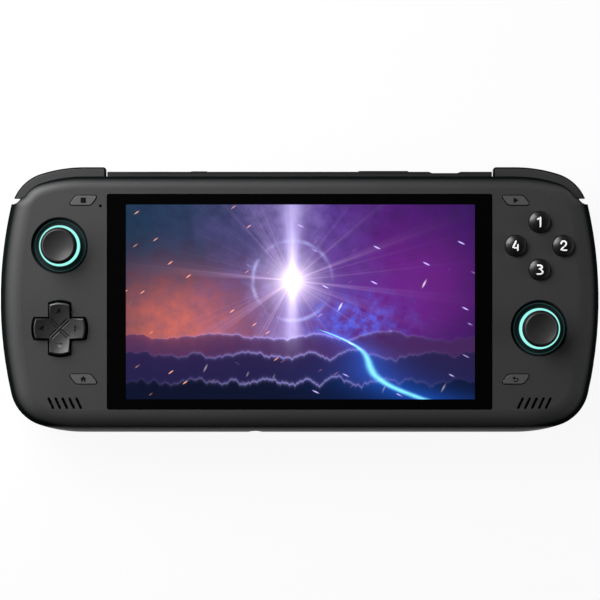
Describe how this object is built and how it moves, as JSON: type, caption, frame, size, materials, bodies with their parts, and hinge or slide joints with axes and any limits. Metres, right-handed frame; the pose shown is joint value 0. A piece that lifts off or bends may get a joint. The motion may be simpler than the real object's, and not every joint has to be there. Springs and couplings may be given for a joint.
{
  "type": "handheld game console",
  "caption": "Handheld game console with a wide glass screen, thumb sticks, direction pad, face buttons, system keys, bumpers and triggers.",
  "frame": {"origin": "middle of the box around the console lying on its back, on the surface under its grips", "axes": "+X to the player's right along the long side, +Y towards the top edge with the bumpers, +Z out of the screen"},
  "size_m": [0.2272, 0.1006, 0.029],
  "materials": {
    "case": "fine matt texture, dark grey",
    "glass": "gloss, black border",
    "display": "lit picture",
    "key": "satin",
    "dome": "semi-gloss domes",
    "stick": "soft matt rubber",
    "light": "translucent, lit cyan",
    "insert": "satin black",
    "steel": "satin",
    "aluminium": "satin",
    "copper": "satin copper",
    "board": "solder mask",
    "battery": "foil wrap",
    "inner_plastic": "matt black",
    "rubber": "silicone",
    "brass": "dense sintered metal"
  },
  "bodies": {
    "root": {"front_shell": "case", "rear_cover": "case", "screen_glass": "glass", "display_panel": "display", "middle_frame": "aluminium", "display_ribbon": "inner_plastic", "battery_pack": "battery", "main_board": "board", "power_board": "board", "port_board": "board", "audio_jack": "inner_plastic", "usb_port": "steel", "card_slot": "steel", "fan_housing": "inner_plastic", "heat_sink": "aluminium", "heat_pipe": "copper", "control_boards": "board", "speakers": "inner_plastic", "microphone": "steel", "vibration_motors": "steel", "case_screws": "steel", "board_screws": "steel", "stick_light_rings": "light", "stick_modules": "inner_plastic", "side_light_bars": "light", "trigger_brackets": "steel", "shoulder_pins": "steel", "trigger_springs": "steel", "button_mats": "rubber", "dpad_fulcrum": "inner_plastic", "top_insert": "insert"},
    "left_stick_gimbal_body": {"left_stick_gimbal": "inner_plastic"},
    "left_stick_ball_body": {"left_stick_ball": "inner_plastic"},
    "left_stick_cap_body": {"left_stick_cap": "stick", "left_stick_shaft": "steel"},
    "right_stick_gimbal_body": {"right_stick_gimbal": "inner_plastic"},
    "right_stick_ball_body": {"right_stick_ball": "inner_plastic"},
    "right_stick_cap_body": {"right_stick_cap": "stick", "right_stick_shaft": "steel"},
    "dpad_ball_body": {"dpad_pivot_ball": "steel"},
    "dpad_body": {"dpad_cross": "key"},
    "face_top_body": {"face_button_top": "dome"},
    "face_right_body": {"face_button_right": "dome"},
    "face_bottom_body": {"face_button_bottom": "dome"},
    "face_left_body": {"face_button_left": "dome"},
    "select_body": {"select_button": "key"},
    "start_body": {"start_button": "key"},
    "home_body": {"home_button": "key"},
    "back_body": {"back_button": "key"},
    "left_bumper_body": {"left_bumper": "key"},
    "left_trigger_body": {"left_trigger": "key"},
    "left_rear_button_body": {"left_rear_button": "key"},
    "left_weight_body": {"left_vibration_weight": "brass"},
    "right_bumper_body": {"right_bumper": "key"},
    "right_trigger_body": {"right_trigger": "key"},
    "right_rear_button_body": {"right_rear_button": "key"},
    "right_weight_body": {"right_vibration_weight": "brass"},
    "power_button_body": {"power_button": "insert"},
    "volume_rocker_body": {"volume_rocker": "insert"},
    "fan_rotor_body": {"fan_rotor": "inner_plastic"}
  },
  "joints": [
    {"name": "left_stick_pitch", "type": "hinge", "parent": "root", "child": "left_stick_gimbal_body", "pos_m": [-0.0903, 0.02015, 0.015], "axis": [1, 0, 0], "range_deg": [-14, 14], "stiffness_Nm_per_rad": 0.05},
    {"name": "left_stick_roll", "type": "hinge", "parent": "left_stick_gimbal_body", "child": "left_stick_ball_body", "pos_m": [-0.0903, 0.02015, 0.015], "axis": [0, 1, 0], "range_deg": [-14, 14], "stiffness_Nm_per_rad": 0.05},
    {"name": "left_stick_press", "type": "slide", "parent": "left_stick_ball_body", "child": "left_stick_cap_body", "axis": [0, 0, -1], "range_m": [0, 0.0004], "stiffness_N_per_m": 7500},
    {"name": "right_stick_pitch", "type": "hinge", "parent": "root", "child": "right_stick_gimbal_body", "pos_m": [0.0903, -0.011, 0.015], "axis": [1, 0, 0], "range_deg": [-14, 14], "stiffness_Nm_per_rad": 0.05},
    {"name": "right_stick_roll", "type": "hinge", "parent": "right_stick_gimbal_body", "child": "right_stick_ball_body", "pos_m": [0.0903, -0.011, 0.015], "axis": [0, 1, 0], "range_deg": [-14, 14], "stiffness_Nm_per_rad": 0.05},
    {"name": "right_stick_press", "type": "slide", "parent": "right_stick_ball_body", "child": "right_stick_cap_body", "axis": [0, 0, -1], "range_m": [0, 0.0004], "stiffness_N_per_m": 7500},
    {"name": "dpad_pitch", "type": "hinge", "parent": "root", "child": "dpad_ball_body", "pos_m": [-0.0903, -0.011, 0.0191], "axis": [1, 0, 0], "range_deg": [-4, 4], "stiffness_Nm_per_rad": 0.14},
    {"name": "dpad_roll", "type": "hinge", "parent": "dpad_ball_body", "child": "dpad_body", "pos_m": [-0.0903, -0.011, 0.0191], "axis": [0, 1, 0], "range_deg": [-4, 4], "stiffness_Nm_per_rad": 0.14},
    {"name": "face_top_press", "type": "slide", "parent": "root", "child": "face_top_body", "axis": [0, 0, -1], "range_m": [0, 0.001], "stiffness_N_per_m": 1500},
    {"name": "face_right_press", "type": "slide", "parent": "root", "child": "face_right_body", "axis": [0, 0, -1], "range_m": [0, 0.001], "stiffness_N_per_m": 1500},
    {"name": "face_bottom_press", "type": "slide", "parent": "root", "child": "face_bottom_body", "axis": [0, 0, -1], "range_m": [0, 0.001], "stiffness_N_per_m": 1500},
    {"name": "face_left_press", "type": "slide", "parent": "root", "child": "face_left_body", "axis": [0, 0, -1], "range_m": [0, 0.001], "stiffness_N_per_m": 1500},
    {"name": "select_press", "type": "slide", "parent": "root", "child": "select_body", "axis": [0, 0, -1], "range_m": [0, 0.0004], "stiffness_N_per_m": 3750},
    {"name": "start_press", "type": "slide", "parent": "root", "child": "start_body", "axis": [0, 0, -1], "range_m": [0, 0.0004], "stiffness_N_per_m": 3750},
    {"name": "home_press", "type": "slide", "parent": "root", "child": "home_body", "axis": [0, 0, -1], "range_m": [0, 0.0004], "stiffness_N_per_m": 3750},
    {"name": "back_press", "type": "slide", "parent": "root", "child": "back_body", "axis": [0, 0, -1], "range_m": [0, 0.0004], "stiffness_N_per_m": 3750},
    {"name": "left_bumper_press", "type": "hinge", "parent": "root", "child": "left_bumper_body", "pos_m": [-0.08, 0.0382, 0.01175], "axis": [0, 0, 1], "range_deg": [0, 2], "stiffness_Nm_per_rad": 1.1},
    {"name": "left_trigger_pull", "type": "hinge", "parent": "root", "child": "left_trigger_body", "pos_m": [-0.0874, 0.0383, 0.0113], "axis": [-1, 0, 0], "range_deg": [0, 12], "stiffness_Nm_per_rad": 0.05},
    {"name": "left_rear_button_press", "type": "slide", "parent": "root", "child": "left_rear_button_body", "axis": [0, 0, 1], "range_m": [0, 0.0006], "stiffness_N_per_m": 2500},
    {"name": "left_weight_spin", "type": "hinge", "parent": "root", "child": "left_weight_body", "pos_m": [-0.097, -0.028, 0.0066], "axis": [0, 1, 0], "continuous": true},
    {"name": "right_bumper_press", "type": "hinge", "parent": "root", "child": "right_bumper_body", "pos_m": [0.08, 0.0382, 0.01175], "axis": [0, 0, -1], "range_deg": [0, 2], "stiffness_Nm_per_rad": 1.1},
    {"name": "right_trigger_pull", "type": "hinge", "parent": "root", "child": "right_trigger_body", "pos_m": [0.0874, 0.0383, 0.0113], "axis": [-1, 0, 0], "range_deg": [0, 12], "stiffness_Nm_per_rad": 0.05},
    {"name": "right_rear_button_press", "type": "slide", "parent": "root", "child": "right_rear_button_body", "axis": [0, 0, 1], "range_m": [0, 0.0006], "stiffness_N_per_m": 2500},
    {"name": "right_weight_spin", "type": "hinge", "parent": "root", "child": "right_weight_body", "pos_m": [0.097, -0.028, 0.0066], "axis": [0, 1, 0], "continuous": true},
    {"name": "power_press", "type": "slide", "parent": "root", "child": "power_button_body", "axis": [0, -1, 0], "range_m": [0, 0.0004], "stiffness_N_per_m": 3750},
    {"name": "volume_tilt", "type": "hinge", "parent": "root", "child": "volume_rocker_body", "pos_m": [0.0319, 0.04615, 0.0116], "axis": [0, 0, 1], "range_deg": [-1.3, 1.3], "stiffness_Nm_per_rad": 0.5},
    {"name": "fan_spin", "type": "hinge", "parent": "root", "child": "fan_rotor_body", "pos_m": [-0.0115, 0.0145, 0.0145], "axis": [0, 0, 1], "continuous": true}
  ]
}
